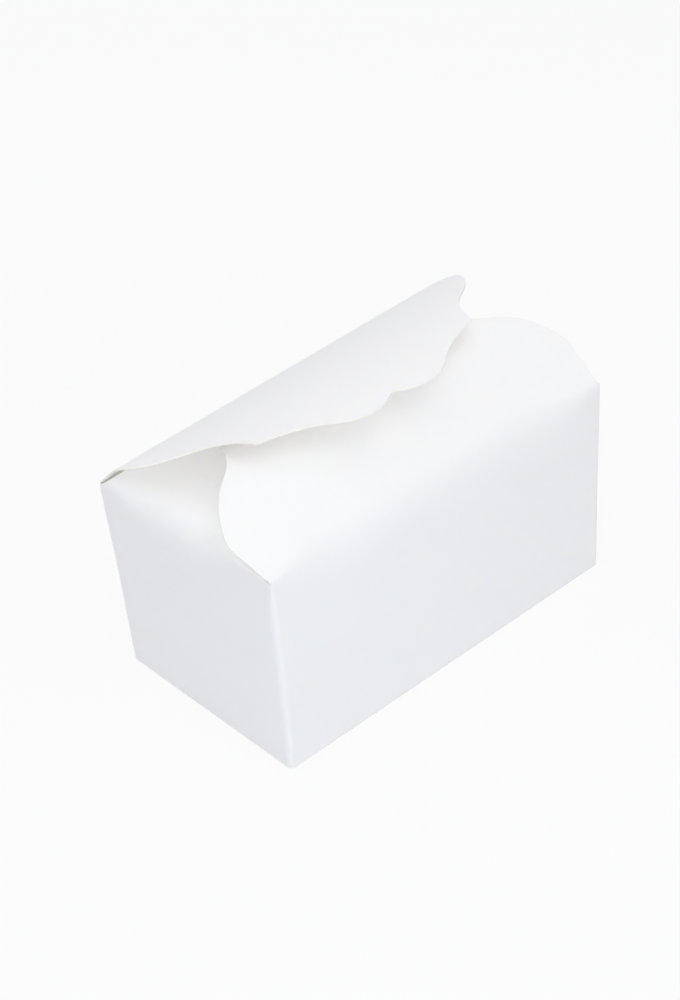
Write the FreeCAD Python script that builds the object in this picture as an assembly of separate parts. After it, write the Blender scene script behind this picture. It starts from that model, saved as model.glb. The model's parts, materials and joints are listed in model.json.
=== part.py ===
# White folding candy box of the ballotin kind, die-cut and folded from one sheet of card.
# The carton (walls, locked base, front flap, end flaps and glue lap) is one folded sheet.
# The closing flap, the last of the four top flaps, turns on its crease at the back wall.
# Frame: millimetres, X along the front wall, Y from front to back, Z up, and the origin
# at the middle of the base's underside.

import FreeCAD, Part

import math
import os

Vector = FreeCAD.Vector

# Driving dimensions, in millimetres and degrees.

board = 0.45                # thickness of the card
base_length = 140.0         # outside, along X
base_depth = 80.0           # outside, along Y
wall_height = 75.2
end_flare = 1.2             # how far each end wall leans out over its height
side_flare = 2.4            # the same for the front and back walls
corner_radius = 2.2         # outside of the upright folds
base_fold_radius = 0.9      # outside of the folds round the base

front_fold_radius = 2.8     # the soft fold at the top of the front wall
front_rise_angle = 27.2     # slope of the front flap up to its crown
front_crown_radius = 26.9
front_crown_offset = 3.5    # the crown stands this far in front of the box's middle
front_tip_angle = -31.0     # slope of the part that tucks down behind the crown

# The closing flap rises more steeply than the front flap, so that it clears its crown, and
# it arches more at its right end than at its left.
closing_left = {"steeper_by": 12.8, "rise_length": 3.9, "arch_radius": 117.0}
closing_right = {"steeper_by": 14.1, "rise_length": 6.7, "arch_radius": 81.4}
closing_tip_angle = -10.0
closing_travel = 3.0        # room under the closing flap for it to turn down from rest
crease_gap = 0.5            # from the crease's axis to the back wall and to the flap's root

# The scalloped edge that the front flap and the closing flap share, laid flat.
# Offsets run inward from the ends of the crease, and reaches run along the sheet from
# the crease. Drops are measured back from the reach of the notch in the middle.
# A bulge is an arc's rise over its chord, outward where it is positive.
notch_margin = 9.7          # how far the middle notch stops short of the box's depth
shoulder_offset = -2.0      # the flap is a little wider than its crease here
shoulder_reach = 20.2
shoulder_bulge = 2.3
neck_offset = 12.6
neck_drop = 29.7
side_lobe_offset = 24.8
side_lobe_drop = 11.2
saddle_bulge = -1.3
centre_lobe_half = 24.7
centre_lobe_drop = 1.2
centre_lobe_bulge = 5.1
shoulder_radius = 18.0      # rounding between the straight side and the first arc
lobe_tip_radius = 1.5

end_fold_radius = 2.4       # the fold at the top of each end wall
end_rise_angle = 12.0       # the end flaps fold in first and lie lowest
end_shoulder_reach = 24.0   # where an end flap's side edges give way to its round end
end_flap_length = 42.0
taper_stations = 5          # steps along an end flap's tapered side edges
flap_gap = 0.7              # between an end flap's side edges and the flaps over them

base_seam = 0.4             # width of the seam between the two locked base panels
seam_step = 13.0            # how far each half of the seam lies off the middle
seam_run = 9.0              # half the length of the seam's sloping middle
lock_tab_length = 30.0
lock_tab_gap = 1.5          # from the seam's sloping middle to a lock tab
lock_tab_overlap = 10.0     # how far a lock tab laps over the other panel
dust_panel_reach = 26.0     # inner base panels, folded in from the end walls
dust_panel_margin = 3.0
dust_panel_taper = 12.0
lap_width = 14.0            # glue lap, folded from the back wall behind the right end wall
lap_margin = 2.5
lap_taper = 6.0

cutter_spare = 5.0          # how far cutting shapes run past what they cut
sheet_spare = 15.0          # card past the scalloped edge, before it is cut
same_place = 0.001          # points nearer than this are one point
halvings = 30               # steps in a search along a sheet

half_length = base_length / 2
half_depth = base_depth / 2
top_half_length = half_length + end_flare
top_half_depth = half_depth + side_flare
notch_reach = base_depth - notch_margin


def line(start, end):
    return Part.LineSegment(start, end).toShape()


class BentSheet:
    # Card followed in section from its crease, where it heads up at start_angle above the
    # inward direction. Each bend is a length along the outer face and the angle turned.

    def __init__(self, start_angle, bends):
        self.start = math.radians(start_angle)
        self.bends = [(length, math.radians(turn)) for length, turn in bends]

    def at(self, reach):
        # Inward distance, height and heading of the outer face at a reach.
        inward = 0.0
        height = 0.0
        heading = self.start
        for length, turn in self.bends:
            step = min(reach, length)
            turned = turn * step / length
            chord = step
            if turned:
                chord = step * math.sin(turned / 2) / (turned / 2)
            inward += chord * math.cos(heading + turned / 2)
            height += chord * math.sin(heading + turned / 2)
            heading += turned
            reach -= step
        return inward, height, heading

    def inward_at_height(self, height):
        # Where the outer face first rises to a height, found by halving the way there.
        low = 0.0
        high = self.crown_reach()
        for _ in range(halvings):
            middle = (low + high) / 2
            if self.at(middle)[1] < height:
                low = middle
            else:
                high = middle
        return self.at(high)[0]

    def crown_reach(self):
        # Where the sheet stops rising.
        reach = 0.0
        heading = self.start
        for length, turn in self.bends:
            if heading + turn < 0:
                return reach + length * heading / -turn
            reach += length
            heading += turn
        return reach

    def section(self, place, first_reach=0.0):
        # Closed face of the card's section. place puts inward and height into space.
        def point(reach, depth):
            inward, height, heading = self.at(reach)
            return place(inward + depth * math.sin(heading), height - depth * math.cos(heading))

        def side(depth):
            edges = []
            start = first_reach
            end = 0.0
            for length, turn in self.bends:
                end += length
                if turn:
                    middle = point((start + end) / 2, depth)
                    edges.append(Part.Arc(point(start, depth), middle, point(end, depth)).toShape())
                else:
                    edges.append(line(point(start, depth), point(end, depth)))
                start = end
            return edges

        reach = sum(length for length, turn in self.bends)
        root = line(point(first_reach, 0.0), point(first_reach, board))
        tip = line(point(reach, 0.0), point(reach, board))
        return Part.Wire(side(0.0) + [tip] + side(board)[::-1] + [root])


def arc_bend(radius, turn):
    return radius * math.radians(abs(turn)), turn


def front_sheet():
    rise = math.radians(front_rise_angle)
    crown_inward = top_half_depth - front_crown_offset
    fold_inward = front_fold_radius * (1 - math.sin(rise))
    rise_inward = crown_inward - fold_inward - front_crown_radius * math.sin(rise)
    return BentSheet(90, [
        arc_bend(front_fold_radius, front_rise_angle - 90),
        (rise_inward / math.cos(rise), 0),
        arc_bend(front_crown_radius, front_tip_angle - front_rise_angle),
        (sheet_spare, 0),
    ])


def closing_sheet(shape, turned_down=0.0):
    rise_angle = front_rise_angle + shape["steeper_by"]
    return BentSheet(rise_angle - turned_down, [
        (shape["rise_length"], 0),
        arc_bend(shape["arch_radius"], closing_tip_angle - rise_angle),
        (sheet_spare, 0),
    ])


def end_sheet():
    return BentSheet(90, [
        arc_bend(end_fold_radius, end_rise_angle - 90),
        (end_flap_length, 0),
    ])


def flat_arc(start, end, bulge, put):
    # Arc over a chord of the flat sheet, placed in plan by put.
    x0, v0 = start
    x1, v1 = end
    chord = math.hypot(x1 - x0, v1 - v0)
    middle = ((x0 + x1) / 2 + bulge * (v1 - v0) / chord, (v0 + v1) / 2 - bulge * (x1 - x0) / chord)
    return Part.Arc(put(*start), put(*middle), put(*end)).toShape()


def bulge_going_on(start, end, bulge, next_end):
    # The bulge with which an arc from end to next_end carries on smoothly from another.
    chord = math.dist(start, end)
    next_chord = math.dist(end, next_end)
    leaving = math.atan2(end[1] - start[1], end[0] - start[0]) + 2 * math.atan(2 * bulge / chord)
    turn = leaving - math.atan2(next_end[1] - end[1], next_end[0] - end[0])
    return -next_chord / 2 * math.tan(turn / 2)


def upright_edges(shape, place):
    # The upright edges that stand at a place and at its mirror image across X.
    return [
        edge for edge in shape.Edges
        if all(
            abs(abs(vertex.X) - place.x) < same_place and abs(vertex.Y - place.y) < same_place
            for vertex in edge.Vertexes
        )
    ]


def scallop_cutter(put):
    # Upright prism over the scalloped outline, with rounded side lobes.
    corner = (top_half_length, 0.0)
    shoulder = (top_half_length - shoulder_offset, shoulder_reach)
    neck = (top_half_length - neck_offset, notch_reach - neck_drop)
    side_lobe = (top_half_length - side_lobe_offset, notch_reach - side_lobe_drop)
    centre_lobe = (centre_lobe_half, notch_reach - centre_lobe_drop)
    notch = (0.0, notch_reach)
    neck_bulge = bulge_going_on(shoulder, neck, shoulder_bulge, side_lobe)
    arcs = [
        (shoulder, neck, shoulder_bulge),
        (neck, side_lobe, neck_bulge),
        (side_lobe, centre_lobe, saddle_bulge),
        (centre_lobe, notch, centre_lobe_bulge),
    ]
    edges = [line(put(*corner), put(*shoulder))]
    edges += [flat_arc(start, end, bulge, put) for start, end, bulge in arcs]
    mirrored = [edge.mirror(Vector(0, 0, 0), Vector(1, 0, 0)) for edge in reversed(edges)]
    crease = line(put(-corner[0], 0.0), put(*corner))
    outline = Part.Face(Part.Wire(edges + mirrored + [crease]))
    cutter = outline.extrude(Vector(0, 0, wall_height))
    for place, radius in ((shoulder, shoulder_radius), (side_lobe, lobe_tip_radius)):
        cutter = cutter.makeFillet(radius, upright_edges(cutter, put(*place)))
    return cutter


def front_flap(sheet):
    width = top_half_length + cutter_spare

    def place(inward, height):
        return Vector(-width, inward - top_half_depth, wall_height + height)

    def put(x, reach):
        return Vector(x, sheet.at(reach)[0] - top_half_depth, wall_height - board)

    bent = Part.Face(sheet.section(place)).extrude(Vector(2 * width, 0, 0))
    return bent.common(scallop_cutter(put))


def closing_flap():
    # Ruled between the sections of its two ends, which arch by different amounts.
    width = top_half_length + cutter_spare
    ends = [closing_sheet(closing_left), closing_sheet(closing_right)]

    def place_at(x):
        return lambda inward, height: Vector(x, top_half_depth - inward, wall_height + height)

    def put(x, reach):
        inward = sum(sheet.at(reach)[0] for sheet in ends) / 2
        return Vector(x, top_half_depth - inward, wall_height - board)

    sections = [sheet.section(place_at(x), crease_gap) for sheet, x in zip(ends, (-width, width))]
    return Part.makeLoft(sections, True, True).common(scallop_cutter(put))


def prism(points, direction):
    return Part.Face(Part.makePolygon(points + points[:1])).extrude(direction)


def end_flap(side, front, closing):
    # side is -1 for the left end and 1 for the right.
    sheet = end_sheet()
    width = top_half_depth + cutter_spare

    def place(inward, height):
        return Vector(side * (top_half_length - inward), -width, wall_height + height)

    def edge_under(flap, way):
        # The side edge runs a constant gap below the long flap that closes over it.
        points = []
        for station in range(taper_stations + 1):
            height = sheet.at(end_shoulder_reach * station / taper_stations)[1]
            inward = flap.inward_at_height(height + board + flap_gap)
            points.append(Vector(0, way * (top_half_depth - inward), wall_height + height))
        return points

    bent = Part.Face(sheet.section(place)).extrude(Vector(0, 2 * width, 0))
    front_edge = edge_under(front, -1)
    back_edge = edge_under(closing, 1)
    drop = Vector(0, 0, cutter_spare)
    taper = prism(
        [front_edge[0] - drop] + front_edge + [front_edge[-1] + drop]
        + [back_edge[-1] + drop] + back_edge[::-1] + [back_edge[0] - drop],
        Vector(side * base_length, 0, 0),
    )

    # Past its shoulders the flap ends in a round tongue.
    shoulder_x = side * (top_half_length - sheet.at(end_shoulder_reach)[0])
    tip_x = side * (top_half_length - sheet.at(end_flap_length)[0])
    outside_x = side * base_length
    low = wall_height - cutter_spare
    corners = [(shoulder_x, width), (outside_x, width), (outside_x, -width), (shoulder_x, -width)]
    rim = [Vector(x, y, low) for x, y in corners]
    front_shoulder = Vector(shoulder_x, front_edge[-1].y, low)
    back_shoulder = Vector(shoulder_x, back_edge[-1].y, low)
    tip = Vector(tip_x, (front_shoulder.y + back_shoulder.y) / 2, low)
    path = [back_shoulder] + rim + [front_shoulder]
    edges = [line(start, end) for start, end in zip(path, path[1:])]
    edges.append(Part.Arc(front_shoulder, tip, back_shoulder).toShape())
    tongue = Part.Face(Part.Wire(edges)).extrude(Vector(0, 0, wall_height))
    return bent.common(taper).common(tongue)


def rounded_rectangle(half_x, half_y, radius, z):
    arcs = []
    for index, (x_way, y_way) in enumerate(((1, 1), (-1, 1), (-1, -1), (1, -1))):
        centre = Vector(x_way * (half_x - radius), y_way * (half_y - radius), z)
        arcs.append(Part.makeCircle(radius, centre, Vector(0, 0, 1), 90 * index, 90 * index + 90))
    edges = []
    for arc, following in zip(arcs, arcs[1:] + arcs[:1]):
        edges += [arc, line(arc.Vertexes[1].Point, following.Vertexes[0].Point)]
    return Part.Wire(edges)


def flared_block(inset, floor):
    # The tapering block inside the walls' outer face by inset, standing on floor.
    def level(z):
        share = z / wall_height
        return rounded_rectangle(
            half_length + end_flare * share - inset,
            half_depth + side_flare * share - inset,
            corner_radius - inset,
            z,
        )

    return Part.makeLoft([level(floor), level(wall_height)], True, True)


def fold_foot(block, radius):
    floor = block.BoundBox.ZMin
    foot = [edge for edge in block.Edges if edge.BoundBox.ZMax < floor + same_place]
    return block.makeFillet(radius, foot)


def walls():
    outside = fold_foot(flared_block(0.0, 0.0), base_fold_radius)
    inside = fold_foot(flared_block(board, board), base_fold_radius - board)
    tray = outside.cut(inside)
    # The back wall and its corners end just below the crease that the closing flap turns on.
    crease_cut = Part.makeBox(
        2 * base_length, cutter_spare, cutter_spare,
        Vector(-base_length, top_half_depth - corner_radius, wall_height - crease_gap),
    )
    return tray.cut(crease_cut)


def base_seam_cutter():
    # The two long base panels meet along a seam that steps over the middle.
    path = [(-half_length, seam_step), (-seam_run, seam_step), (seam_run, -seam_step),
            (half_length, -seam_step)]
    near = [Vector(x, y - base_seam / 2, -board) for x, y in path]
    far = [Vector(x, y + base_seam / 2, -board) for x, y in reversed(path)]
    return prism(near + far, Vector(0, 0, 2 * board))


def lock_tab(side):
    # A tab of one long base panel lapping over the other, on the inside.
    start = side * (seam_run + lock_tab_gap)
    end = start + side * lock_tab_length
    middle = -side * seam_step
    corners = [
        (start, middle - lock_tab_overlap), (end, middle - lock_tab_overlap),
        (end, middle + lock_tab_overlap), (start, middle + lock_tab_overlap),
    ]
    return prism([Vector(x, y, board) for x, y in corners], Vector(0, 0, board))


def dust_panel(side):
    wall = side * (half_length - board)
    edge = side * (half_length - board - dust_panel_reach)
    wide = half_depth - board - dust_panel_margin
    narrow = wide - dust_panel_taper
    corners = [(wall, -wide), (edge, -narrow), (edge, narrow), (wall, wide)]
    return prism([Vector(x, y, board) for x, y in corners], Vector(0, 0, board))


def glue_lap():
    # A second layer of card on the right end wall, next to the back corner.
    layer = flared_block(board, board).cut(flared_block(2 * board, board))
    back = top_half_depth
    front = half_depth - lap_width
    corners = [
        (back, lap_margin), (back, wall_height - lap_margin),
        (front, wall_height - lap_margin - lap_taper), (front, lap_margin + lap_taper),
    ]
    outline = [Vector(half_length - corner_radius, y, z) for y, z in corners]
    return layer.common(prism(outline, Vector(2 * corner_radius + end_flare, 0, 0)))


def carton():
    front = front_sheet()
    sheet = walls().cut(base_seam_cutter())
    pieces = [glue_lap(), front_flap(front)]
    for side, shape in ((-1, closing_left), (1, closing_right)):
        pieces.append(dust_panel(side))
        pieces.append(lock_tab(side))
        pieces.append(end_flap(side, front, closing_sheet(shape, closing_travel)))
    return sheet.multiFuse(pieces)


nodes = {"folded_carton": carton, "closing_flap": closing_flap}

os.makedirs("parts", exist_ok=True)
for name, make in nodes.items():
    make().exportStep("parts/" + name + ".step")
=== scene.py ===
import json
import math

import bpy
import numpy as np
from mathutils import Matrix, Vector


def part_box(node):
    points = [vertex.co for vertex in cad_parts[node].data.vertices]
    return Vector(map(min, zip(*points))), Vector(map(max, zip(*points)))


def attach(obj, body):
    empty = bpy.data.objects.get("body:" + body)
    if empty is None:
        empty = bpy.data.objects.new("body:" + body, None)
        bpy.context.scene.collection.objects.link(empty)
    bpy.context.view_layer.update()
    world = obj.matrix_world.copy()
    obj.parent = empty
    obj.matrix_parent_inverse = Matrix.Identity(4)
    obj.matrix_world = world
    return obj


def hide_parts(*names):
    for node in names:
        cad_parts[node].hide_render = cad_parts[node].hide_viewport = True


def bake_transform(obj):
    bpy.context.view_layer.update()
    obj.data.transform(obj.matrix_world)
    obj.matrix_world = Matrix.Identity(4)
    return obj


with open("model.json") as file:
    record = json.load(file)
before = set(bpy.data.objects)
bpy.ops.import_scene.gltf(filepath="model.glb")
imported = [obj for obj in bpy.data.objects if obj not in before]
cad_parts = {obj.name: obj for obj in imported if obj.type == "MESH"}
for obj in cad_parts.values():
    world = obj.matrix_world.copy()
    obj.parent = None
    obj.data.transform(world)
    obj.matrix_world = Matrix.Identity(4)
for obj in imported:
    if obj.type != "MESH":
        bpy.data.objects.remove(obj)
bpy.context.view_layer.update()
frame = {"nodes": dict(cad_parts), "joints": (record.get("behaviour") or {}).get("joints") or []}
print("frame loaded:", ", ".join(sorted(frame["nodes"])))

mm = 0.001
crease = frame["joints"][0]
cartonLow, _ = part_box("folded_carton")

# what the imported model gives, in millimetres
creaseHeight = crease["pos_m"][2] / mm
topHalfDepth = -cartonLow.y / mm

# the card itself, in millimetres
card = {
    "thickness": 0.45,
    "smoothAngle": 38,       # folds sharper than this, in degrees, show as an edge
    "weldDistance": 0.0005,
}

# the folded walls and base, in millimetres
box = {
    "halfLength": 70.0,
    "halfDepth": 40.0,
    "endFlare": 1.2,         # lean of each end wall over its height
    "cornerRadius": 2.2,
    "rightCornerRadius": 1.1,  # the upright folds at the right end are crisper
    "topCornerRadius": 0.6,  # the upright folds tighten where the flaps fold in
    "tightening": 44.0,      # over this much height
    "nearTightening": 8.0,   # but over less at the near left corner
    "nearPower": 4,          # how closely that keeps to the corner
    "footRadius": 0.9,
    "panelBow": 0.25,        # the long walls swell this much
    "endBow": 0.15,
    "backCrease": 1.0,       # the back wall stops this far below the crease
    "wallRows": 44,
    "rowGrading": 1.5,       # the wall's rows crowd towards its top
    "footRows": 5,
    "cornerColumns": 8,
    "backColumns": 60,
    "endColumns": 64,
    "seamStep": 13.0,
    "seamRun": 9.0,
    "seamGap": 0.4,
    "baseRows": 10,
    "baseSide": 0.3,         # gap between the base panels and the end walls
}
topHalfLength = box["halfLength"] + box["endFlare"]
sideFlare = topHalfDepth - box["halfDepth"]
rootHalf = topHalfLength - box["topCornerRadius"]
rootDepth = topHalfDepth - box["topCornerRadius"]


# Eases from 0 to 1 as 3t^2 - 2t^3.
def smoothStep(t):
    t = np.clip(t, 0, 1)
    return t * t * (3 - 2 * t)


# Follows a sheet from its crease. Each bend is a length and a turn: a step along it adds its
# chord, step * sin(turn/2) / (turn/2), at the heading plus half the turn.
def followBends(reach, startAngle, bends):
    inward, rise = np.zeros_like(reach), np.zeros_like(reach)
    heading = np.full_like(reach, math.radians(startAngle))
    left = np.array(reach, float)
    for length, turn in bends:
        step = np.clip(left, 0, length)
        turned = math.radians(turn) * step / length
        chord = step * np.sinc(turned / (2 * math.pi))
        inward = inward + chord * np.cos(heading + turned / 2)
        rise = rise + chord * np.sin(heading + turned / 2)
        heading = heading + turned
        left = left - step
    return inward, rise


# The radius times the turn in radians.
def arcLength(radius, turn):
    return radius * math.radians(abs(turn))


# How much card each fold takes up, in millimetres. It is tight at its two corners and soft from
# "opening" inward, and stays as tight as its near corner for the length "tight". The near
# corners are the left one of the front fold and the front one of an end fold. Radius and rise
# give the straight lines that the fold joins.
folds = {
    "front": {
        "radius": 2.8, "rise": 27.2, "middle": 29.0,
        "corner": 5.0, "tight": 0.0, "opening": 28.0,
        "farCorner": 5.0, "farOpening": 28.0,
    },
    "end": {
        "radius": 2.4, "rise": 12.0, "middle": 27.0,
        "corner": 1.8, "tight": 7.0, "opening": 30.0,
        "farCorner": 9.0, "farOpening": 24.0,
    },
    "wallShare": 1.65,       # above 1, the wall takes more of the bend
    "steps": 400,            # steps in which the curve is added up
}


# A soft fold where two straight runs meet. Its heading eases from the first angle to the
# second by 3v^2 - 2v^3, where v is u to the power "wallShare", so the wall takes more of the
# bend, and the integral of (cos, sin) of it is the curve. q is the distance along the straight
# runs from their meeting point, below zero on the wall.
def softFold(q, length, wallAngle, riseAngle):
    u = np.linspace(0, 1, folds["steps"] + 1)
    heading = np.radians(wallAngle + (riseAngle - wallAngle) * smoothStep(u ** folds["wallShare"]))
    way = np.stack([np.cos(heading), np.sin(heading)])
    run = np.cumsum((way[:, 1:] + way[:, :-1]) / 2, axis=1) / folds["steps"]
    run = np.concatenate([np.zeros((2, 1)), run], axis=1)
    onWall, onFlap = np.linalg.solve(way[:, [0, -1]], run[:, -1])
    share = np.clip((q / length + onWall) / (onWall + onFlap), 0, 1)
    before, after = np.minimum(q, -onWall * length), np.maximum(q - onFlap * length, 0)
    return [before * way[k, 0] + np.interp(share, u, run[k]) * length + after * way[k, -1]
            for k in range(2)]


# Where a leaning wall's line meets the line of its flap. Gives the place (inward, rise), the
# reach of it along the sheet, and the wall's angle.
def foldPlace(fold, flare):
    wall = math.pi / 2 + math.atan(flare / creaseHeight)
    rise = math.radians(fold["rise"])
    end = np.array([fold["radius"] * (1 - math.sin(rise)), fold["radius"] * math.cos(rise)])
    lines = [[math.cos(rise), math.cos(wall)], [math.sin(rise), math.sin(wall)]]
    past, up = np.linalg.solve(lines, end)
    place = up * np.array([math.cos(wall), math.sin(wall)])
    return place, arcLength(fold["radius"], 90 - fold["rise"]) - past, math.degrees(wall)


# The length of card in a fold: from each corner it grows to the middle's by the smooth step of
# the distance over the opening, and the smaller of the two counts.
def foldLength(fromNear, fromFar, fold):
    nearOpened = smoothStep((fromNear - fold["tight"]) / fold["opening"])
    farOpened = smoothStep(fromFar / fold["farOpening"])
    near = fold["corner"] + (fold["middle"] - fold["corner"]) * nearOpened
    far = fold["farCorner"] + (fold["middle"] - fold["farCorner"]) * farOpened
    return np.minimum(near, far)


frontPlace, frontStart, frontWall = foldPlace(folds["front"], sideFlare)
endPlace, endStart, endWall = foldPlace(folds["end"], box["endFlare"])

# the corners whose tops stand out of true: (x, y) lean at the crease and how far it spreads
racked = [
    {"corner": (-1, -1), "lean": (1.2, 2.4), "spread": (50.0, 84.0)},
    {"corner": (-1, 1), "lean": (-1.0, -1.3), "spread": (16.0, 84.0)},
]
rackedAbove = 14.0           # and how far above the crease it reaches


# Leans the racked corners: their offset fades along both walls, down to the base and above
# the crease.
def outOfTrue(points):
    moved = points.copy()
    for item in racked:
        cx, cy = item["corner"][0] * topHalfLength, item["corner"][1] * topHalfDepth
        across = smoothStep(1 - np.abs(points[..., 0] - cx) / item["spread"][0])
        along = np.clip(1 - np.abs(points[..., 1] - cy) / item["spread"][1], 0, 1)
        above = smoothStep(1 - (points[..., 2] - creaseHeight) / rackedAbove)
        weight = across * along * above * np.clip(points[..., 2] / creaseHeight, 0, 1)
        moved[..., :2] += weight[..., None] * item["lean"]
    return moved


# one half of the scalloped edge, laid flat: x from the middle, reach from the crease
scallop = {
    "shoulder": (73.2, 20.2),
    "neck": (58.6, 40.6),
    "sideLobe": (46.4, 59.1),
    "centreLobe": (24.7, 69.1),
    "notch": (0.0, 70.3),
    "bulges": (2.3, -2.4, -1.3, 5.1),    # rise of each arc over its chord
    "softening": 2.4,        # length over which the corners are rounded
    "pointsPerArc": 60,
    "edgePoints": 2401,      # the whole edge, before it is rounded
    "columns": 160,
    "rows": 60,
    "rowGrading": 1.6,       # rows crowd towards the fold
    "sideEase": 12,          # how closely the side cuts hold the outer columns
}


# Points of an arc over a chord: along = c/2 + R sin(a), off = R cos(a) - R cos(A/2), where the
# whole angle A is 4 atan(2 bulge / c), a runs from -A/2 to A/2 and R is c / (2 sin(A/2)).
def arcPoints(start, end, bulge, count):
    start, end = np.array(start), np.array(end)
    chord = np.linalg.norm(end - start)
    along = (end - start) / chord
    outward = np.array([along[1], -along[0]])
    whole = 4 * math.atan(2 * bulge / chord)
    radius = chord / (2 * math.sin(whole / 2))
    angle = np.linspace(-whole / 2, whole / 2, count)[:, None]
    run = chord / 2 + radius * np.sin(angle)
    off = radius * (np.cos(angle) - math.cos(whole / 2))
    return start + along * run + outward * off


# Spaces points evenly by length along a polyline.
def evenly(points, count):
    travelled = np.concatenate([[0], np.cumsum(np.linalg.norm(np.diff(points, axis=0), axis=1))])
    wanted = np.linspace(0, travelled[-1], count)
    return np.stack([np.interp(wanted, travelled, points[:, k]) for k in range(2)], axis=1), wanted


# The scalloped edge from one end of the flap's root to the middle notch and on to the other
# end: arcs end to end, mirrored, then each point averaged with its neighbours.
def scallopOutline(root):
    nodes = [scallop[name] for name in ("shoulder", "neck", "sideLobe", "centreLobe", "notch")]
    half = [np.array([[rootHalf, root]])]
    half += [arcPoints(start, end, bulge, scallop["pointsPerArc"])
             for start, end, bulge in zip(nodes, nodes[1:], scallop["bulges"])]
    half = np.concatenate(half)
    whole = np.concatenate([half, half[-2::-1] * (-1, 1)])
    fine, travelled = evenly(whole, scallop["edgePoints"])
    window = int(scallop["softening"] / (travelled[1] - travelled[0])) | 1
    ends = [np.repeat(fine[:1], window // 2, axis=0), np.repeat(fine[-1:], window // 2, axis=0)]
    padded = np.concatenate([ends[0], fine, ends[1]])
    kernel = np.ones(window) / window
    smooth = np.stack([np.convolve(padded[:, k], kernel, "valid") for k in range(2)], axis=1)
    side = int(np.argmax(smooth[:, 1] > scallop["shoulder"][1]))
    return smooth[:side + 1], smooth[side:len(smooth) - side]


# Flat x and reach over a flap: straight lines from its evenly divided root to the scalloped
# edge, each a blend by t of root and edge, eased at both sides onto the side cuts.
def flapGrid(root):
    side, edge = scallopOutline(root)
    edge, _ = evenly(edge[::-1], scallop["columns"] + 1)      # left to right
    across = np.linspace(-1, 1, scallop["columns"] + 1)
    t = np.linspace(0, 1, scallop["rows"] + 1)[:, None] ** scallop["rowGrading"]
    x = (1 - t) * across * rootHalf + t * edge[:, 0]
    reach = root + t * (edge[:, 1] - root)
    straight = rootHalf + (edge[-1, 0] - rootHalf) * t
    cut = np.interp(root + t * (edge[-1, 1] - root), side[:, 1], side[:, 0])
    x = x + np.sign(across) * np.abs(across) ** scallop["sideEase"] * (cut - straight)
    return across, x, reach


# the front flap past its fold, in millimetres and degrees
frontFlap = {
    "crownRadius": 26.9,
    "crownOffset": 3.5,
    "tipAngle": -31.0,
    "tipRun": 60.0,          # straight card past the crown, more than there is
    "softShare": 0.7,        # the soft fold holds for this share of the straight rise
}

frontRise = math.radians(folds["front"]["rise"])
frontRun = (topHalfDepth - frontFlap["crownOffset"]
            - folds["front"]["radius"] * (1 - math.sin(frontRise))
            - frontFlap["crownRadius"] * math.sin(frontRise)) / math.cos(frontRise)
frontTurns = (folds["front"]["rise"] - 90, frontFlap["tipAngle"] - folds["front"]["rise"])
frontBends = [
    (arcLength(folds["front"]["radius"], frontTurns[0]), frontTurns[0]),
    (frontRun, 0),
    (arcLength(frontFlap["crownRadius"], frontTurns[1]), frontTurns[1]),
    (frontFlap["tipRun"], 0),
]


# The front flap: the soft fold and straight rise first, then the crown's arc and the tip.
def frontSurface(x, reach):
    q = reach - frontStart
    length = foldLength(rootHalf + x, rootHalf - x, folds["front"])
    soft = softFold(q, length, frontWall, folds["front"]["rise"])
    arched = followBends(reach, 90, frontBends)
    onFold = q < frontRun * frontFlap["softShare"]
    inward, rise = [np.where(onFold, soft[k] + frontPlace[k], arched[k]) for k in range(2)]
    return np.stack([x, inward - topHalfDepth, creaseHeight + rise], axis=-1)


# the closing flap and its crease, in millimetres and degrees
closingFlap = {
    "left": {"rise": 40.0, "run": 3.9, "radius": 117.0},
    "right": {"rise": 41.3, "run": 6.7, "radius": 81.4},
    "tipAngle": -10.0,
    "width": 76.2,           # half the width over which the two ends are ruled together
    "root": 1.0,             # the flap starts this far past the crease
    "creaseLength": 1.8,     # card taken up by the scored crease
    "creaseRows": 12,
    "bendStart": (-0.02, -0.5),  # y and z from the crease, between which its strip bends
    "bendEnd": (-0.38, 0.32),
    "curl": 1.5,             # the left shoulder stands this much higher
    "curlWidth": 16.0,
    "curlReach": (1.0, 34.0),
    "travel": 3.0,           # degrees down from rest at which the end flaps still clear it
}


# One end's section of the closing flap: a straight run, then an arch, by the shares of each.
def closingSection(end, runShare, archShare):
    rise = math.radians(end["rise"])
    turned = math.radians(closingFlap["tipAngle"] - end["rise"]) * archShare
    chord = end["radius"] * 2 * np.sin(np.abs(turned) / 2)
    inward = end["run"] * runShare * math.cos(rise) + chord * np.cos(rise + turned / 2)
    height = end["run"] * runShare * math.sin(rise) + chord * np.sin(rise + turned / 2)
    return inward, height


# The closing flap is ruled: each point lies on a straight line between its two end sections.
def closingSurface(x, reach):
    left, right = closingFlap["left"], closingFlap["right"]
    share = (x + closingFlap["width"]) / (2 * closingFlap["width"])
    leftArch, rightArch = [arcLength(end["radius"], closingFlap["tipAngle"] - end["rise"])
                           for end in (left, right)]
    run = left["run"] + (right["run"] - left["run"]) * share
    arch = leftArch + (rightArch - leftArch) * share
    runShare = np.minimum(reach / run, 1)
    archShare = np.clip((reach - run) / arch, 0, 1)
    leftInward, leftHeight = closingSection(left, runShare, archShare)
    rightInward, rightHeight = closingSection(right, runShare, archShare)
    inward = leftInward + (rightInward - leftInward) * share
    height = leftHeight + (rightHeight - leftHeight) * share
    low, high = closingFlap["curlReach"]
    curled = np.sin(math.pi * np.clip((reach - low) / (high - low), 0, 1)) ** 2
    leftward = smoothStep(1 - (x + rootHalf) / closingFlap["curlWidth"])
    curled = curled * leftward * closingFlap["curl"]
    return np.stack([x, topHalfDepth - inward, creaseHeight + height + curled], axis=-1)


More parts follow.
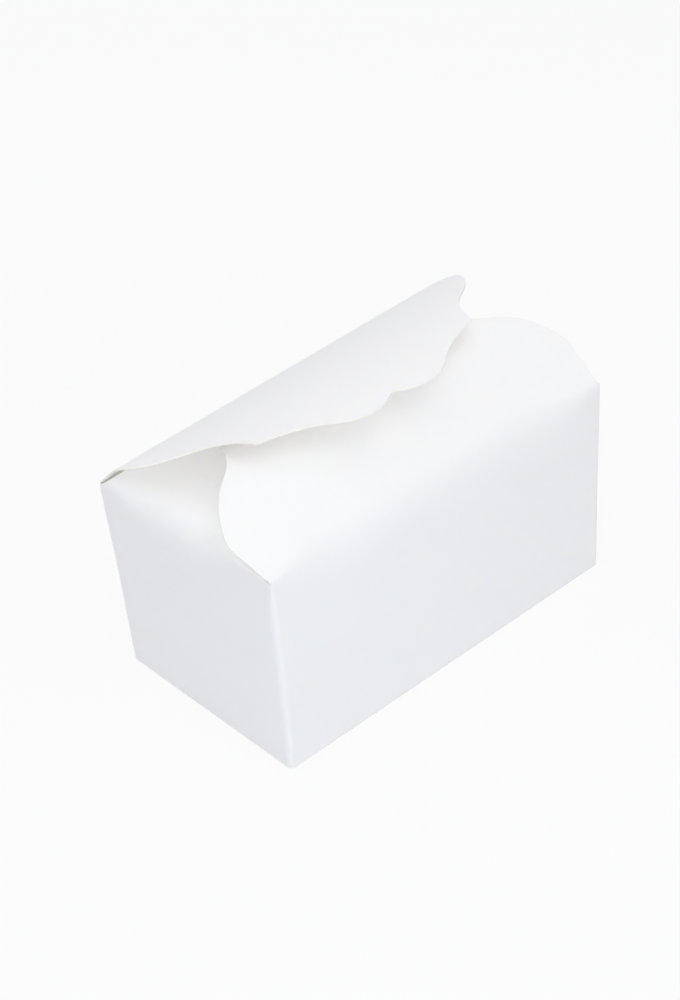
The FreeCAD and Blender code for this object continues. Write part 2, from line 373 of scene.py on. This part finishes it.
# A point on the walls: the core rectangle's corner or side, plus the corner radius outward.
# fx and fy run over the core from -1 to 1; ax and ay are the outward direction.
def wallPoint(columns, z, inset):
    fx, fy, ax, ay = columns
    share = z / creaseHeight
    near = ((1 - fx) * (1 - fy) / 4) ** box["nearPower"]
    over = box["tightening"] + (box["nearTightening"] - box["tightening"]) * near
    ease = smoothStep((z - creaseHeight + over) / over)
    rightward = (fx + 1) / 2
    lowRadius = box["cornerRadius"] + (box["rightCornerRadius"] - box["cornerRadius"]) * rightward
    radius = lowRadius + (box["topCornerRadius"] - lowRadius) * ease
    halfX = topHalfLength - box["endFlare"] * (1 - share) - radius
    halfY = topHalfDepth - sideFlare * (1 - share) - radius
    swell = np.sin(math.pi * np.clip(share, 0, 1)) ** 2
    longBow = box["panelBow"] * (1 - fx ** 2) * np.abs(ay)
    endBow = box["endBow"] * (1 - fy ** 2) * np.abs(ax)
    out = radius - inset + swell * (longBow + endBow)
    return fx * halfX + ax * out, fy * halfY + ay * out


# The columns once around the box, as (fx, fy, ax, ay), and the span of them on each wall. A
# corner's outward direction is (cos, sin) of an angle that turns a quarter.
def wallColumns(frontAcross):
    back = np.linspace(1, -1, box["backColumns"] + 1)
    ends = np.linspace(-1, 1, box["endColumns"] + 1)
    turn = np.linspace(0, math.pi / 2, box["cornerColumns"] + 1)[1:-1]

    def corner(cx, cy, start):
        return np.stack([np.full_like(turn, cx), np.full_like(turn, cy),
                         np.cos(start + turn), np.sin(start + turn)])

    def side(fx, fy, ax, ay):
        shape = np.broadcast(fx, fy)
        return np.stack([np.broadcast_to(v, shape.shape) for v in (fx, fy, ax, ay)]).astype(float)

    parts = [
        side(frontAcross, -1, 0, -1), corner(1, -1, -math.pi / 2),
        side(1, ends, 1, 0), corner(1, 1, 0),
        side(back, 1, 0, 1), corner(-1, 1, math.pi / 2),
        side(-1, ends[::-1], -1, 0), corner(-1, -1, math.pi),
    ]
    starts = np.cumsum([0] + [part.shape[1] for part in parts])
    spans = {name: slice(starts[k], starts[k + 1]) for name, k in
             (("front", 0), ("right", 2), ("back", 4), ("left", 6))}
    return np.concatenate(parts, axis=1), spans


# The walls: rows climb the foot's arc, inset = r (1 - sin a) and z = r (1 - cos a), then the
# wall, which bends inward by the soft fold near its top. The corner columns blend the folds on
# both sides of them.
def wallGrid(columns, spans):
    count = columns.shape[1]
    endTop = creaseHeight + endPlace[1]
    ending = {
        "front": [creaseHeight + frontPlace[1]] * 2,
        "right": [endTop, endTop + endFlap["backCut"]],
        "back": [creaseHeight - box["backCrease"]] * 2,
        "left": [endTop + endFlap["backCut"], endTop],
    }
    known = [edge for name in ending for edge in (spans[name].start, spans[name].stop - 1)]
    heights = sum(ending.values(), [])
    top = np.interp(np.arange(count), known + [count], heights + heights[:1])

    foot = np.linspace(0, math.pi / 2, box["footRows"] + 1)[:, None]
    climb = 1 - (1 - np.linspace(0, 1, box["wallRows"] + 1)[1:, None]) ** box["rowGrading"]
    z = np.concatenate([
        box["footRadius"] * (1 - np.cos(foot)) + 0 * top,
        box["footRadius"] + (top - box["footRadius"]) * climb,
    ])
    inset = np.concatenate([box["footRadius"] * (1 - np.sin(foot)) + 0 * top, 0 * top + 0 * climb])
    x, y = wallPoint(columns, z, inset)

    bent = np.zeros((2,) + z.shape)
    for name, fold, wall, half, row in (("front", folds["front"], frontWall, rootHalf, 0),
                                        ("right", folds["end"], endWall, rootDepth, 1),
                                        ("left", folds["end"], endWall, rootDepth, 1)):
        span = spans[name]
        q = z[:, span] - creaseHeight - (frontPlace if name == "front" else endPlace)[1]
        along = half * columns[row, span]
        length = foldLength(half + along, half - along, fold)
        soft = softFold(q, length, wall, fold["rise"])
        bent[0][:, span] = soft[0] - q * math.cos(math.radians(wall))
        bent[1][:, span] = soft[1] - q * math.sin(math.radians(wall))
    index = np.arange(count)
    solid = np.sort(np.concatenate([index[span] for span in spans.values()]))
    after = np.searchsorted(solid, index)
    low = np.where(np.isin(index, solid), index, solid[after - 1])
    high = np.where(np.isin(index, solid), index, np.append(solid, count)[after])
    share = (index - low) / np.maximum(high - low, 1)
    bent = bent[..., low] * (1 - share) + bent[..., high % count] * share
    return np.stack([x - columns[2] * bent[0], y - columns[3] * bent[0], z + bent[1]], axis=-1)


# The stepped seam of the base: straight from one step to the other within the run.
def seamHeight(x):
    return np.interp(x, [-box["seamRun"], box["seamRun"]], [box["seamStep"], -box["seamStep"]])


# A base panel: straight lines from the stepped seam to the foot of its wall.
def basePanel(footRow, way):
    x = footRow[:, 0]
    t = np.linspace(0, 1, box["baseRows"] + 1)[:, None]
    wide = (box["halfLength"] - box["footRadius"] - box["baseSide"]) / np.abs(x).max()
    spread = 1 + (wide - 1) * np.clip((1 - t) * box["baseRows"], 0, 1)
    xs = x * spread
    seam = seamHeight(xs) + way * box["seamGap"] / 2
    y = seam + (footRow[:, 1] - seam) * t
    return np.stack([xs, y, 0 * xs], axis=-1)


# both end flaps, in millimetres
endFlap = {
    "shoulder": 24.0,        # the side edges end and the round tongue starts
    "length": 42.0,
    "gap": 0.7,
    "backCut": -1.9,         # the side cut starts this much lower at the back corner
    "rows": 40,
    "rowGrading": 1.4,       # rows crowd towards the fold
    "tongueRows": 16,
    "frontSpan": 30.0,       # how far inward the undersides above it are followed
    "backSpan": 40.0,
    "underPoints": 601,
}

# The height of the underside that an end flap's edge keeps clear of, against the distance
# inward: the front flap, and the closing flap turned down by its travel.
frontUnder = followBends(
    np.linspace(0, endFlap["frontSpan"], endFlap["underPoints"]), 90, frontBends)
backReach = np.linspace(0, endFlap["backSpan"], endFlap["underPoints"])
backUnder = closingSurface(0 * backReach, backReach)
backUnder = (topHalfDepth - backUnder[:, 1], backUnder[:, 2] - creaseHeight)
sunk = math.radians(closingFlap["travel"])
backUnder = (backUnder[0] * math.cos(sunk) + backUnder[1] * math.sin(sunk),
             backUnder[1] * math.cos(sunk) - backUnder[0] * math.sin(sunk))


# An end flap: its side edges run just below the long flaps as it rises, and straight lines
# lead on to a round tongue, an arc through both shoulders and the tip.
def endFlapGrid(side, ends):
    fold = folds["end"]
    shoulder, tip = endFlap["shoulder"] - endStart, endFlap["length"] - endStart
    climb = np.linspace(0, 1, endFlap["rows"] + 1) ** endFlap["rowGrading"]
    edges = []
    for cut, under, length in ((0, frontUnder, fold["corner"]),
                               (endFlap["backCut"], backUnder, fold["farCorner"])):
        _, height = softFold(cut + climb * (shoulder - cut), length, endWall, fold["rise"])
        clear = height + endPlace[1] + card["thickness"] + endFlap["gap"]
        edges.append(topHalfDepth - np.interp(clear, under[1], under[0]))
    frontY, backY = -edges[0], edges[1]
    frontY[0], backY[0] = -rootDepth, rootDepth
    share = (ends + 1) / 2
    cut = endFlap["backCut"] * share
    y = frontY[:, None] + (backY - frontY)[:, None] * share
    q = cut + climb[:, None] * (shoulder - cut)
    half, middle = (backY[-1] - frontY[-1]) / 2, (backY[-1] + frontY[-1]) / 2
    depth = tip - shoulder
    radius = (half ** 2 + depth ** 2) / (2 * depth)
    angle = np.linspace(-1, 1, len(ends)) * math.asin(half / radius)
    rimY, rimQ = middle + radius * np.sin(angle), tip - radius * (1 - np.cos(angle))
    t = np.linspace(0, 1, endFlap["tongueRows"] + 1)[1:, None]
    y = np.concatenate([y, y[-1] + (rimY - y[-1]) * t])
    q = np.concatenate([q, shoulder + (rimQ - shoulder) * t])
    length = foldLength(rootDepth + y, rootDepth - y, fold)
    inward, rise = softFold(q, length, endWall, fold["rise"])
    points = np.stack([side * (topHalfLength - endPlace[0] - inward), y,
                       creaseHeight + endPlace[1] + rise], axis=-1)
    return points, np.stack([y, creaseHeight + q], axis=-1)


# Four-sided faces between neighbouring rows and columns of a grid.
def gridFaces(rows, columns, closed=False):
    index = np.arange(rows * columns).reshape(rows, columns)
    following = np.roll(index, -1, axis=1) if closed else index[:, 1:]
    index = index if closed else index[:, :-1]
    return np.stack([index[:-1], following[:-1], following[1:], index[1:]], axis=-1).reshape(-1, 4)


# Joins grids of points into one mesh. Each grid is (points, flat coordinates, closed), and
# points that coincide become one vertex.
def sheetMesh(name, grids, mats):
    points, flats, faces, count = [], [], [], 0
    for grid, flat, closed in grids:
        faces.append(gridFaces(*grid.shape[:2], closed) + count)
        points.append(grid.reshape(-1, 3))
        flats.append(flat.reshape(-1, 2))
        count += len(points[-1])
    points, flats, faces = np.concatenate(points), np.concatenate(flats), np.concatenate(faces)
    key = np.round(points / card["weldDistance"]).astype(np.int64)
    _, first, same = np.unique(key, axis=0, return_index=True, return_inverse=True)
    same = same.reshape(-1)
    corners = faces.reshape(-1)
    mesh = bpy.data.meshes.new(name)
    mesh.from_pydata((points[first] * mm).tolist(), [], same[faces].tolist())
    mesh.uv_layers.new(name="flat").data.foreach_set("uv", (flats[corners] * mm).ravel())
    mesh.validate()
    mesh.polygons.foreach_set("use_smooth", [True] * len(mesh.polygons))
    for mat in mats:
        mesh.materials.append(mat)
    piece = bpy.data.objects.new(name, mesh)
    bpy.context.scene.collection.objects.link(piece)
    return piece


# Gives a sheet the card's thickness inward, fixes the result and keeps its cut edges sharp.
def giveThickness(piece):
    solid = piece.modifiers.new("thickness", "SOLIDIFY")
    solid.thickness = card["thickness"] * mm
    solid.offset = -1
    solid.use_even_offset = True
    solid.use_quality_normals = True
    solid.material_offset = 1
    solid.material_offset_rim = 2
    bpy.context.view_layer.update()
    depsgraph = bpy.context.evaluated_depsgraph_get()
    made = bpy.data.meshes.new_from_object(piece.evaluated_get(depsgraph))
    piece.modifiers.clear()
    piece.data = made
    made.set_sharp_from_angle(angle=math.radians(card["smoothAngle"]))
    return piece


# Wraps a shader socket, so that sums and products of sockets add their own Math nodes.
class Term:
    def __init__(self, graph, socket):
        self.graph = graph
        self.socket = socket

    def math(self, operation, first, second):
        return self.graph.node("ShaderNodeMath", {"operation": operation}, {0: first, 1: second})

    def __add__(self, other):
        return self.math("ADD", self, other)

    def __mul__(self, other):
        return self.math("MULTIPLY", self, other)

    __radd__ = __add__
    __rmul__ = __mul__


class Graph:
    def __init__(self, owner):
        self.owner = owner
        owner.use_nodes = True
        self.tree = owner.node_tree
        self.tree.nodes.clear()

    # Adds a node: its settings first, then its sockets, each a value or a link.
    def node(self, kind, settings=None, sockets=None, out=0):
        made = self.tree.nodes.new(kind)
        for key, value in (settings or {}).items():
            setattr(made, key, value)
        for key, value in (sockets or {}).items():
            if isinstance(value, Term):
                self.tree.links.new(value.socket, made.inputs[key])
            else:
                made.inputs[key].default_value = value
        return Term(self, made.outputs[out] if made.outputs else None)

    # A colour mix, whose factor and colours are sockets 0, 6 and 7 and whose result is the third.
    def mix(self, factor, first, second):
        sockets = {0: factor, 6: first, 7: second}
        return self.node("ShaderNodeMix", {"data_type": "RGBA"}, sockets, 2)

    def noise(self, vector, scale, detail, roughness=0.5):
        return self.node("ShaderNodeTexNoise", None, {
            "Vector": vector, "Scale": scale, "Detail": detail, "Roughness": roughness})

    def place(self, vector, scale):
        return self.node("ShaderNodeMapping", None, {"Vector": vector, "Scale": scale})

    # One for the rays that see the backdrop, and nothing for those that light the box.
    def seenRays(self):
        rays = ("Is Camera Ray", "Is Glossy Ray", "Is Transmission Ray")
        camera, glossy, through = [self.node("ShaderNodeLightPath", out=ray) for ray in rays]
        return camera + glossy + through

    def finish(self, shader, output="ShaderNodeOutputMaterial"):
        self.node(output, None, {"Surface": shader})
        return self.owner


# Noises are (scale, detail, roughness), with scales per metre, except that a fibre's multiplies
# the stretch. Bumps are (strength, depth in metres). Tint and bump values say how much of a noise
# goes into each, and gloss values how much of it is added to the roughness.
cardFinish = {
    "coated": {
        "light": (0.905, 0.905, 0.908, 1),
        "shade": (0.885, 0.886, 0.892, 1),
        "cloud": (55.0, 3),      # soft clouds of the coating
        "tooth": (1900.0, 2),    # the fine tooth of the surface
        "fibre": (1.0, 3),
        "cloudTint": 0.7, "fibreTint": 0.3,
        "toothBump": 0.6, "fibreBump": 0.6,
        "cloudGloss": 0.10, "fibreGloss": 0.05,
        "roughness": 0.37,
        "bump": (0.35, 0.00003),
    },
    "plain": {
        "light": (0.90, 0.882, 0.848, 1),
        "shade": (0.87, 0.848, 0.81, 1),
        "cloud": (120.0, 4),
        "fibre": (1.6, 5, 0.65),
        "cloudTint": 0.5, "fibreTint": 0.5,
        "cloudBump": 0.5,
        "fibreGloss": 0.1,
        "roughness": 0.72,
        "bump": (0.5, 0.00006),
    },
    "cut": {
        "light": (0.93, 0.905, 0.86, 1),
        "shade": (0.87, 0.835, 0.775, 1),
        "ply": (2600.0, 3),
        "plyGloss": 0.1,
        "roughness": 0.75,
        "bump": (0.4, 0.00005),
    },
    "fibreStretch": (90.0, 900.0, 1.0),    # per metre, along and across the fibres
    "glow": 0.35,                # how much light soaks into the card
    "glowDepth": 0.0005,
    "glowTint": (1.0, 0.86, 0.66),
}


# What every face of the card shares: two tones, a bump, and light that soaks in a little.
def cardShader(graph, face, mask, height, roughness):
    strength, depth = face["bump"]
    bump = graph.node("ShaderNodeBump", None, {
        "Strength": strength, "Distance": depth, "Height": height})
    shader = graph.node("ShaderNodeBsdfPrincipled", None, {
        "Base Color": graph.mix(mask, face["light"], face["shade"]),
        "Roughness": roughness,
        "Normal": bump,
        "Subsurface Weight": cardFinish["glow"],
        "Subsurface Scale": cardFinish["glowDepth"],
        "Subsurface Radius": cardFinish["glowTint"]})
    return graph.finish(shader)


# The coated outer face: soft clouds in colour and gloss, a fine tooth and faint long fibres.
def coatedFace(face):
    graph = Graph(bpy.data.materials.new("coatedCard"))
    place, flat = [graph.node("ShaderNodeTexCoord", out=name) for name in ("Object", "UV")]
    cloud = graph.noise(place, *face["cloud"])
    tooth = graph.noise(place, *face["tooth"])
    fibre = graph.noise(graph.place(flat, cardFinish["fibreStretch"]), *face["fibre"])
    mask = cloud * face["cloudTint"] + fibre * face["fibreTint"]
    height = tooth * face["toothBump"] + fibre * face["fibreBump"] + cloud
    roughness = cloud * face["cloudGloss"] + fibre * face["fibreGloss"] + face["roughness"]
    return cardShader(graph, face, mask, height, roughness)


# The uncoated inner face, warmer and coarser.
def plainFace(face):
    graph = Graph(bpy.data.materials.new("plainCard"))
    place, flat = [graph.node("ShaderNodeTexCoord", out=name) for name in ("Object", "UV")]
    cloud = graph.noise(place, *face["cloud"])
    fibre = graph.noise(graph.place(flat, cardFinish["fibreStretch"]), *face["fibre"])
    mask = cloud * face["cloudTint"] + fibre * face["fibreTint"]
    height = fibre + cloud * face["cloudBump"]
    return cardShader(graph, face, mask, height, fibre * face["fibreGloss"] + face["roughness"])


# The cut edge shows the board's cream plies.
def cutFace(face):
    graph = Graph(bpy.data.materials.new("cutEdge"))
    ply = graph.noise(graph.node("ShaderNodeTexCoord", out="Object"), *face["ply"])
    return cardShader(graph, face, ply, ply, ply * face["plyGloss"] + face["roughness"])


cardMaterials = [
    coatedFace(cardFinish["coated"]), plainFace(cardFinish["plain"]), cutFace(cardFinish["cut"])]
print("card finish made")

# The carton: base panels, walls, front flap and end flaps are one folded sheet.
across, frontX, frontReach = flapGrid(frontStart)
frontPoints = frontSurface(frontX, frontReach)
columns, spans = wallColumns(across)
wallPoints = wallGrid(columns, spans)
wallPoints[-1, spans["front"]] = frontPoints[0]
wallRun = np.concatenate([[0], np.cumsum(np.linalg.norm(np.diff(wallPoints[0], axis=0), axis=1))])
wallFlat = np.stack([np.broadcast_to(wallRun, wallPoints.shape[:2]), wallPoints[..., 2]], axis=-1)
frontFlat = np.stack([frontX + wallRun[spans["front"].start] + rootHalf,
                      creaseHeight + frontReach], axis=-1)
grids = [(wallPoints, wallFlat, True), (frontPoints, frontFlat, False)]
for name, way in (("front", 1), ("back", -1)):
    panel = basePanel(wallPoints[0, spans[name]], way)
    grids.append((panel, panel[..., :2], False))
ends = np.linspace(-1, 1, box["endColumns"] + 1)
for side, name in ((-1, "left"), (1, "right")):
    points, flat = endFlapGrid(side, ends)
    if side < 0:
        points, flat = points[:, ::-1], flat[:, ::-1]
    wallPoints[-1, spans[name]] = points[0]
    grids.append((points, flat, False))
leaning = [(outOfTrue(points), flat, closed) for points, flat, closed in grids]
carton = giveThickness(sheetMesh("foldedCard", leaning, cardMaterials))
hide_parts("folded_carton")
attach(carton, "carton")
print("carton folded:", len(carton.data.polygons), "faces")

# Inside, the end panels of the base lie on the long ones, and the glue lap on the right wall.
inner = {
    "panelLength": 32.0, "panelHalfWidth": 38.0, "panelTaper": 5.0,
    "panelGap": 0.05,        # between the end panels and the long ones under them
    "lapWidth": 14.0, "lapBack": 1.6, "lapFoot": 4.0, "lapTop": 68.0, "lapTaper": 5.0,
    "lapGap": 0.5,           # between the glue lap and the wall
}


# A flat panel, an even blend between its near and far edges, given as end points.
def panelBetween(nearEdge, farEdge, rows=12, columns=24):
    u, v = np.linspace(0, 1, columns + 1)[:, None], np.linspace(0, 1, rows + 1)[:, None, None]
    edges = [np.array(edge[0]) * (1 - u) + np.array(edge[1]) * u for edge in (nearEdge, farEdge)]
    return edges[0] * (1 - v) + edges[1] * v


panels = []
lying = 2 * card["thickness"] + inner["panelGap"]
for way in (-1, 1):
    edge = way * (box["halfLength"] - box["footRadius"] - card["thickness"])
    far = edge - way * inner["panelLength"]
    wide = inner["panelHalfWidth"] * way
    narrow = (inner["panelHalfWidth"] - inner["panelTaper"]) * way
    panel = panelBetween(((edge, -wide, lying), (edge, wide, lying)),
                         ((far, -narrow, lying), (far, narrow, lying)))
    panels.append((panel, panel[..., :2], False))


# A point on the inner side of the right end wall, which leans out as it rises.
def onRightWall(y, z):
    lean = box["endFlare"] * z / creaseHeight
    return (box["halfLength"] + lean - card["thickness"] - inner["lapGap"], y, z)


lapBack = box["halfDepth"] - inner["lapBack"]
lapFront = lapBack - inner["lapWidth"]
lap = panelBetween(
    (onRightWall(lapBack, inner["lapFoot"]), onRightWall(lapBack, inner["lapTop"])),
    (onRightWall(lapFront, inner["lapFoot"] + inner["lapTaper"]),
     onRightWall(lapFront, inner["lapTop"] - inner["lapTaper"])))
panels.append((lap, lap[..., 1:], False))
inside = giveThickness(sheetMesh("innerPanels", panels, cardMaterials[1:2] * 2 + cardMaterials[2:]))
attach(inside, "carton")
print("inner panels laid")

# The closing flap, from just past its crease to its scalloped edge.
_, closingX, closingReach = flapGrid(closingFlap["root"])
closingPoints = outOfTrue(closingSurface(closingX, closingReach))[:, ::-1]
closingFlat = np.stack([closingX, closingReach], axis=-1)[:, ::-1]
flap = giveThickness(sheetMesh("closingFlap", [(closingPoints, closingFlat, False)], cardMaterials))
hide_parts("closing_flap")
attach(flap, "flap")
print("closing flap arched")

# The scored crease joins the back wall to the flap: a soft fold whose rise goes from the left
# end's to the right end's.
share = (closingX[0] + closingFlap["width"]) / (2 * closingFlap["width"])
leftRise, rightRise = closingFlap["left"]["rise"], closingFlap["right"]["rise"]
rises = leftRise + (rightRise - leftRise) * share
q = np.linspace(-box["backCrease"], closingFlap["root"], closingFlap["creaseRows"] + 1)
curve = np.array([softFold(q, closingFlap["creaseLength"], frontWall, rise) for rise in rises])
creasePoints = np.stack([np.broadcast_to(closingX[0], (len(q), len(rises))),
                         topHalfDepth - curve[:, 0].T, creaseHeight + curve[:, 1].T], axis=-1)
creaseFlat = np.stack([creasePoints[..., 0], q[:, None] + 0 * rises], axis=-1)
creaseGrid = (outOfTrue(creasePoints)[:, ::-1], creaseFlat[:, ::-1], False)
creaseStrip = giveThickness(sheetMesh("scoredCrease", [creaseGrid], cardMaterials))
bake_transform(creaseStrip)
print("crease scored")

# A large key overhead and one in front cast the soft shadows. Three fills that cast none lift
# them, the first of them stronger than either key.
lights = {
    "key": {"size": 1.6, "place": (0.1, 0.1, 1.7), "power": 2.15,
            "colour": (0.97, 0.94, 1), "shadow": True},
    "frontKey": {"size": 1.1, "place": (0.1, -0.75, 1.5), "power": 3.5,
                 "colour": (1, 0.965, 0.935), "shadow": True},
    "fill": {"size": 0.8, "place": (-0.65, -0.8, 1.22), "power": 5.75,
             "colour": (1, 0.985, 0.92), "shadow": False},
    "backFill": {"size": 0.8, "place": (-0.1, 0.75, 1.4), "power": 3.6,
                 "colour": (0.985, 0.955, 1), "shadow": False},
    "lowFill": {"size": 0.25, "place": (-0.36, -0.44, 0.12), "power": 0.345,
                "colour": (0.7, 0.83, 1), "shadow": False},
}


# A square light that faces the middle of the box's foot.
def areaLight(name, values):
    lamp = bpy.data.lights.new(name, "AREA")
    lamp.size = values["size"]
    lamp.energy, lamp.color, lamp.use_shadow = values["power"], values["colour"], values["shadow"]
    made = bpy.data.objects.new(name, lamp)
    made.location = values["place"]
    made.rotation_euler = (-Vector(values["place"])).to_track_quat("-Z", "Y").to_euler()
    bpy.context.scene.collection.objects.link(made)


for name, values in lights.items():
    areaLight(name, values)

studio = {
    "sky": (0.94, 0.965, 1, 1),
    "skyStrength": 0.545,
    "backdrop": (1, 1, 1, 1),
    "floor": (0.86, 0.86, 0.87, 1),
    "floorShare": 0.8,       # how much of the floor's seen colour is the backdrop's
    "floorHalf": 6.0,
}

sky = Graph(bpy.data.worlds.new("studio"))
soft = sky.node("ShaderNodeBackground", None, {
    "Color": studio["sky"], "Strength": studio["skyStrength"]})
seen = sky.node("ShaderNodeBackground", None, {"Color": studio["backdrop"]})
mixed = sky.node("ShaderNodeMixShader", None, {0: sky.seenRays(), 1: soft, 2: seen})
bpy.context.scene.world = sky.finish(mixed, "ShaderNodeOutputWorld")

floorGraph = Graph(bpy.data.materials.new("paleFloor"))
matte = floorGraph.node("ShaderNodeBsdfDiffuse", None, {"Color": studio["floor"]})
white = floorGraph.node("ShaderNodeEmission", None, {"Color": studio["backdrop"]})
floorMesh = bpy.data.meshes.new("floor")
far = studio["floorHalf"]
floorCorners = [(-far, -far, 0), (far, -far, 0), (far, far, 0), (-far, far, 0)]
floorMesh.from_pydata(floorCorners, [], [(0, 1, 2, 3)])
floor = bpy.data.objects.new("floor", floorMesh)
bpy.context.scene.collection.objects.link(floor)
floorMesh.materials.append(floorGraph.finish(
    floorGraph.node("ShaderNodeMixShader", None, {
        0: floorGraph.seenRays() * studio["floorShare"], 1: matte, 2: white})))

viewpoint = {
    "azimuth": -39.07, "elevation": 38.04, "roll": -5.29,
    "distance": 1.01335, "lens": 108.0, "sensor": 36, "clip": (0.01, 50),
    "shiftRight": 0.009319, "shiftUp": -0.037433,
}
turn, tilt, roll = (math.radians(viewpoint[k]) for k in ("azimuth", "elevation", "roll"))
back = Vector((math.sin(turn) * math.cos(tilt), -math.cos(turn) * math.cos(tilt), math.sin(tilt)))
right = Vector((0, 0, 1)).cross(back).normalized()
up = back.cross(right)
rolledRight = right * math.cos(roll) + up * math.sin(roll)
rolledUp = up * math.cos(roll) - right * math.sin(roll)
camera = bpy.data.objects.new("camera", bpy.data.cameras.new("camera"))
bpy.context.scene.collection.objects.link(camera)
camera.data.lens = viewpoint["lens"]
camera.data.sensor_width = viewpoint["sensor"]
camera.data.clip_start, camera.data.clip_end = viewpoint["clip"]
spot = (back * viewpoint["distance"] - rolledRight * viewpoint["shiftRight"]
        - rolledUp * viewpoint["shiftUp"])
camera.matrix_world = Matrix((
    (rolledRight.x, rolledUp.x, back.x, spot.x),
    (rolledRight.y, rolledUp.y, back.y, spot.y),
    (rolledRight.z, rolledUp.z, back.z, spot.z),
    (0, 0, 0, 1),
))
bpy.context.scene.camera = camera
bpy.context.scene.view_settings.view_transform = "Standard"

print("studio ready")
